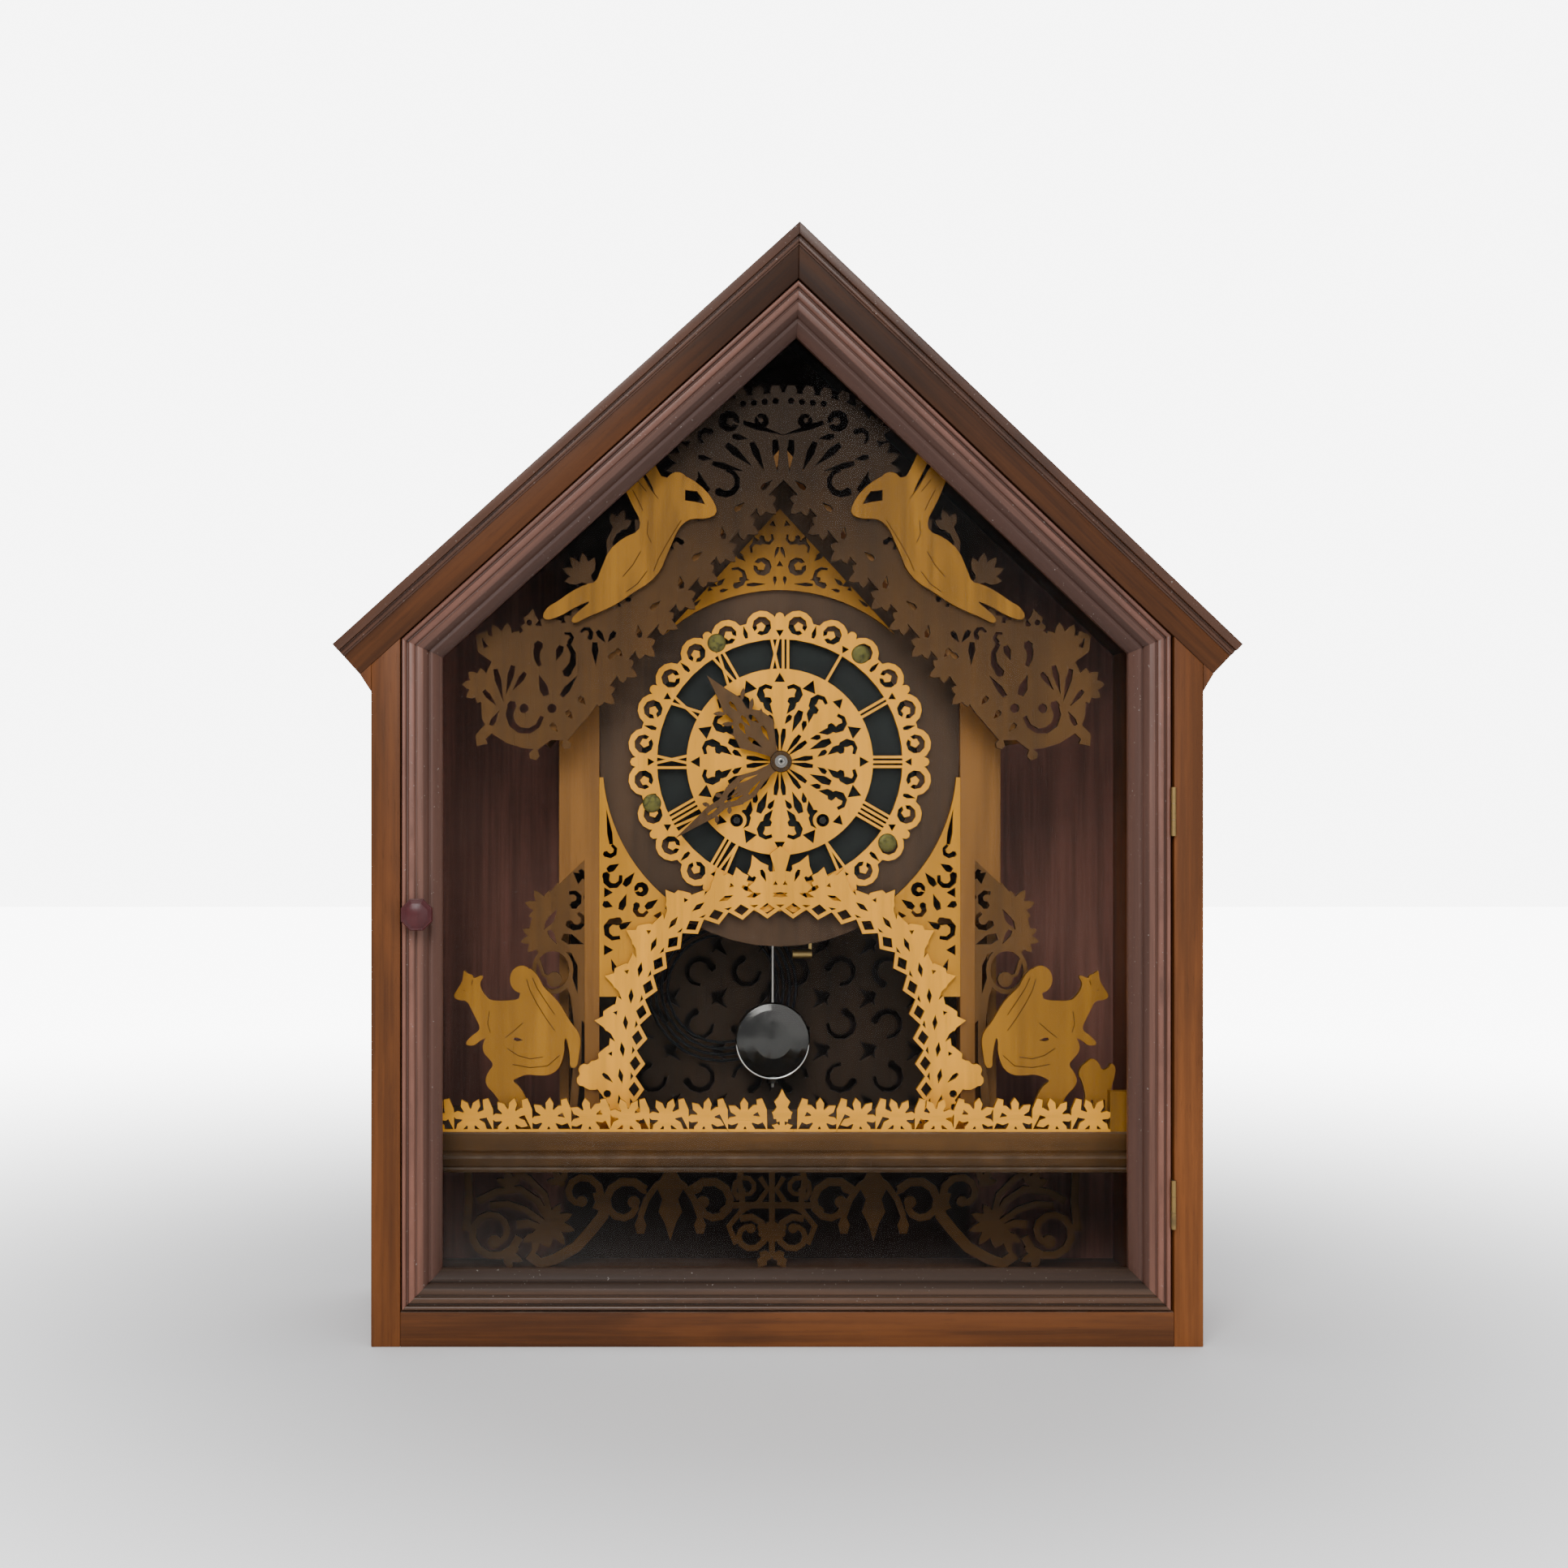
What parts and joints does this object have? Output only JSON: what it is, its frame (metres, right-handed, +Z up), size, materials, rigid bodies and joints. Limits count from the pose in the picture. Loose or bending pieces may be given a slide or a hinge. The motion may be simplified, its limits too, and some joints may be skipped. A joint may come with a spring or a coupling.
{
  "type": "fretwork clock",
  "caption": "Pierced wooden house clock with dial, arch, figures and pendulum, standing inside a gabled wooden case with a glazed door.",
  "frame": {"origin": "centre of the case base, on its underside, at the depth of the base mount", "axes": "+Z up, -Y is the glazed front, +X to the right seen from the front"},
  "size_m": [0.56, 0.1742, 0.693],
  "materials": {
    "case_wood": "polished mahogany-coloured wood",
    "moulding_wood": "dark polished wood, dusty",
    "dark_wood": "dark brown stained wood",
    "maple_fret": "satin golden fretwood",
    "shaded_fret": "satin golden-brown fretwood",
    "house_wood": "satin brown wood",
    "glass": "clear sheet glass",
    "brass": "aged brass",
    "steel": "plain steel",
    "gong_steel": "blued steel",
    "bob_chrome": "polished metal",
    "slate": "matt slate blue"
  },
  "bodies": {
    "case": {"case_side_left": "case_wood", "case_side_right": "case_wood", "case_bottom": "case_wood", "case_back": "dark_wood", "roof_board_left": "case_wood", "roof_board_right": "case_wood", "roof_cover_left": "moulding_wood", "roof_cover_right": "moulding_wood", "eave_moulds": "case_wood", "hinge_case_leaves": "brass", "hinge_pins": "steel", "shelf_board": "house_wood", "shelf_edge": "house_wood", "gallery": "maple_fret", "end_block": "maple_fret", "pelmet": "shaded_fret", "posts": "house_wood", "house_sides": "house_wood", "house_roof": "house_wood", "face_board": "dark_wood", "back_fret": "dark_wood", "gable_fret_left": "shaded_fret", "gable_fret_right": "shaded_fret", "brackets": "shaded_fret", "upper_spandrel": "maple_fret", "lower_spandrels": "maple_fret", "arch_fret": "maple_fret", "dial_fret": "maple_fret", "dial_plate": "slate", "dial_pins": "brass", "flyer_left": "maple_fret", "flyer_right": "maple_fret", "kneeler_left": "maple_fret", "kneeler_right": "maple_fret", "lamb": "maple_fret", "movement_plates": "brass", "movement_pillars": "brass", "gong": "gong_steel", "seat_board": "dark_wood"},
    "door": {"door_stile_left": "moulding_wood", "door_stile_right": "moulding_wood", "door_rail": "moulding_wood", "door_rafter_left": "moulding_wood", "door_rafter_right": "moulding_wood", "door_glass": "glass", "glazing_beads": "moulding_wood", "door_knob": "moulding_wood", "hinge_door_leaves": "brass"},
    "time_barrel": {"time_barrel": "brass"},
    "strike_barrel": {"strike_barrel": "brass"},
    "time_arbor": {"time_arbor": "steel"},
    "strike_arbor": {"strike_arbor": "steel"},
    "minute_hand": {"minute_hand": "dark_wood", "centre_arbor": "steel"},
    "hour_hand": {"hour_hand": "dark_wood"},
    "pendulum": {"pendulum_rod": "steel", "pendulum_bob": "bob_chrome"},
    "verge": {"verge": "steel"},
    "hammer": {"hammer": "brass"}
  },
  "joints": [
    {"name": "door_hinge", "type": "hinge", "parent": "case", "child": "door", "pos_m": [0.2376, -0.0816, 0.209], "axis": [0, 0, 1], "range_deg": [0, 135]},
    {"name": "time_barrel_turn", "type": "hinge", "parent": "case", "child": "time_barrel", "pos_m": [0.0277, 0.01, 0.3244], "axis": [0, 1, 0], "continuous": true},
    {"name": "strike_barrel_turn", "type": "hinge", "parent": "case", "child": "strike_barrel", "pos_m": [-0.0277, 0.01, 0.3244], "axis": [0, 1, 0], "continuous": true},
    {"name": "time_winding", "type": "hinge", "parent": "case", "child": "time_arbor", "pos_m": [0.0277, 0.01, 0.3244], "axis": [0, 1, 0], "continuous": true},
    {"name": "strike_winding", "type": "hinge", "parent": "case", "child": "strike_arbor", "pos_m": [-0.0277, 0.01, 0.3244], "axis": [0, 1, 0], "continuous": true},
    {"name": "minute_turn", "type": "hinge", "parent": "case", "child": "minute_hand", "pos_m": [0, -0.034, 0.362], "axis": [0, 1, 0], "continuous": true},
    {"name": "hour_turn", "type": "hinge", "parent": "case", "child": "hour_hand", "pos_m": [0, -0.03, 0.362], "axis": [0, 1, 0], "continuous": true},
    {"name": "pendulum_swing", "type": "hinge", "parent": "case", "child": "pendulum", "pos_m": [0, 0.0322, 0.404], "axis": [0, 1, 0], "range_deg": [-4, 4]},
    {"name": "verge_swing", "type": "hinge", "parent": "case", "child": "verge", "pos_m": [0, 0.026, 0.392], "axis": [0, 1, 0], "range_deg": [-5.3, 5.3]},
    {"name": "hammer_swing", "type": "hinge", "parent": "case", "child": "hammer", "pos_m": [0.026, 0.04, 0.279], "axis": [0, 1, 0], "range_deg": [-12, 0], "stiffness_Nm_per_rad": 0.02, "springref_deg": 5.73}
  ],
  "couplings": [
    {"joint": "minute_turn", "follows": "time_barrel_turn", "ratio": -6},
    {"joint": "hour_turn", "follows": "time_barrel_turn", "ratio": -0.5},
    {"joint": "verge_swing", "follows": "pendulum_swing", "ratio": 1.2857}
  ]
}
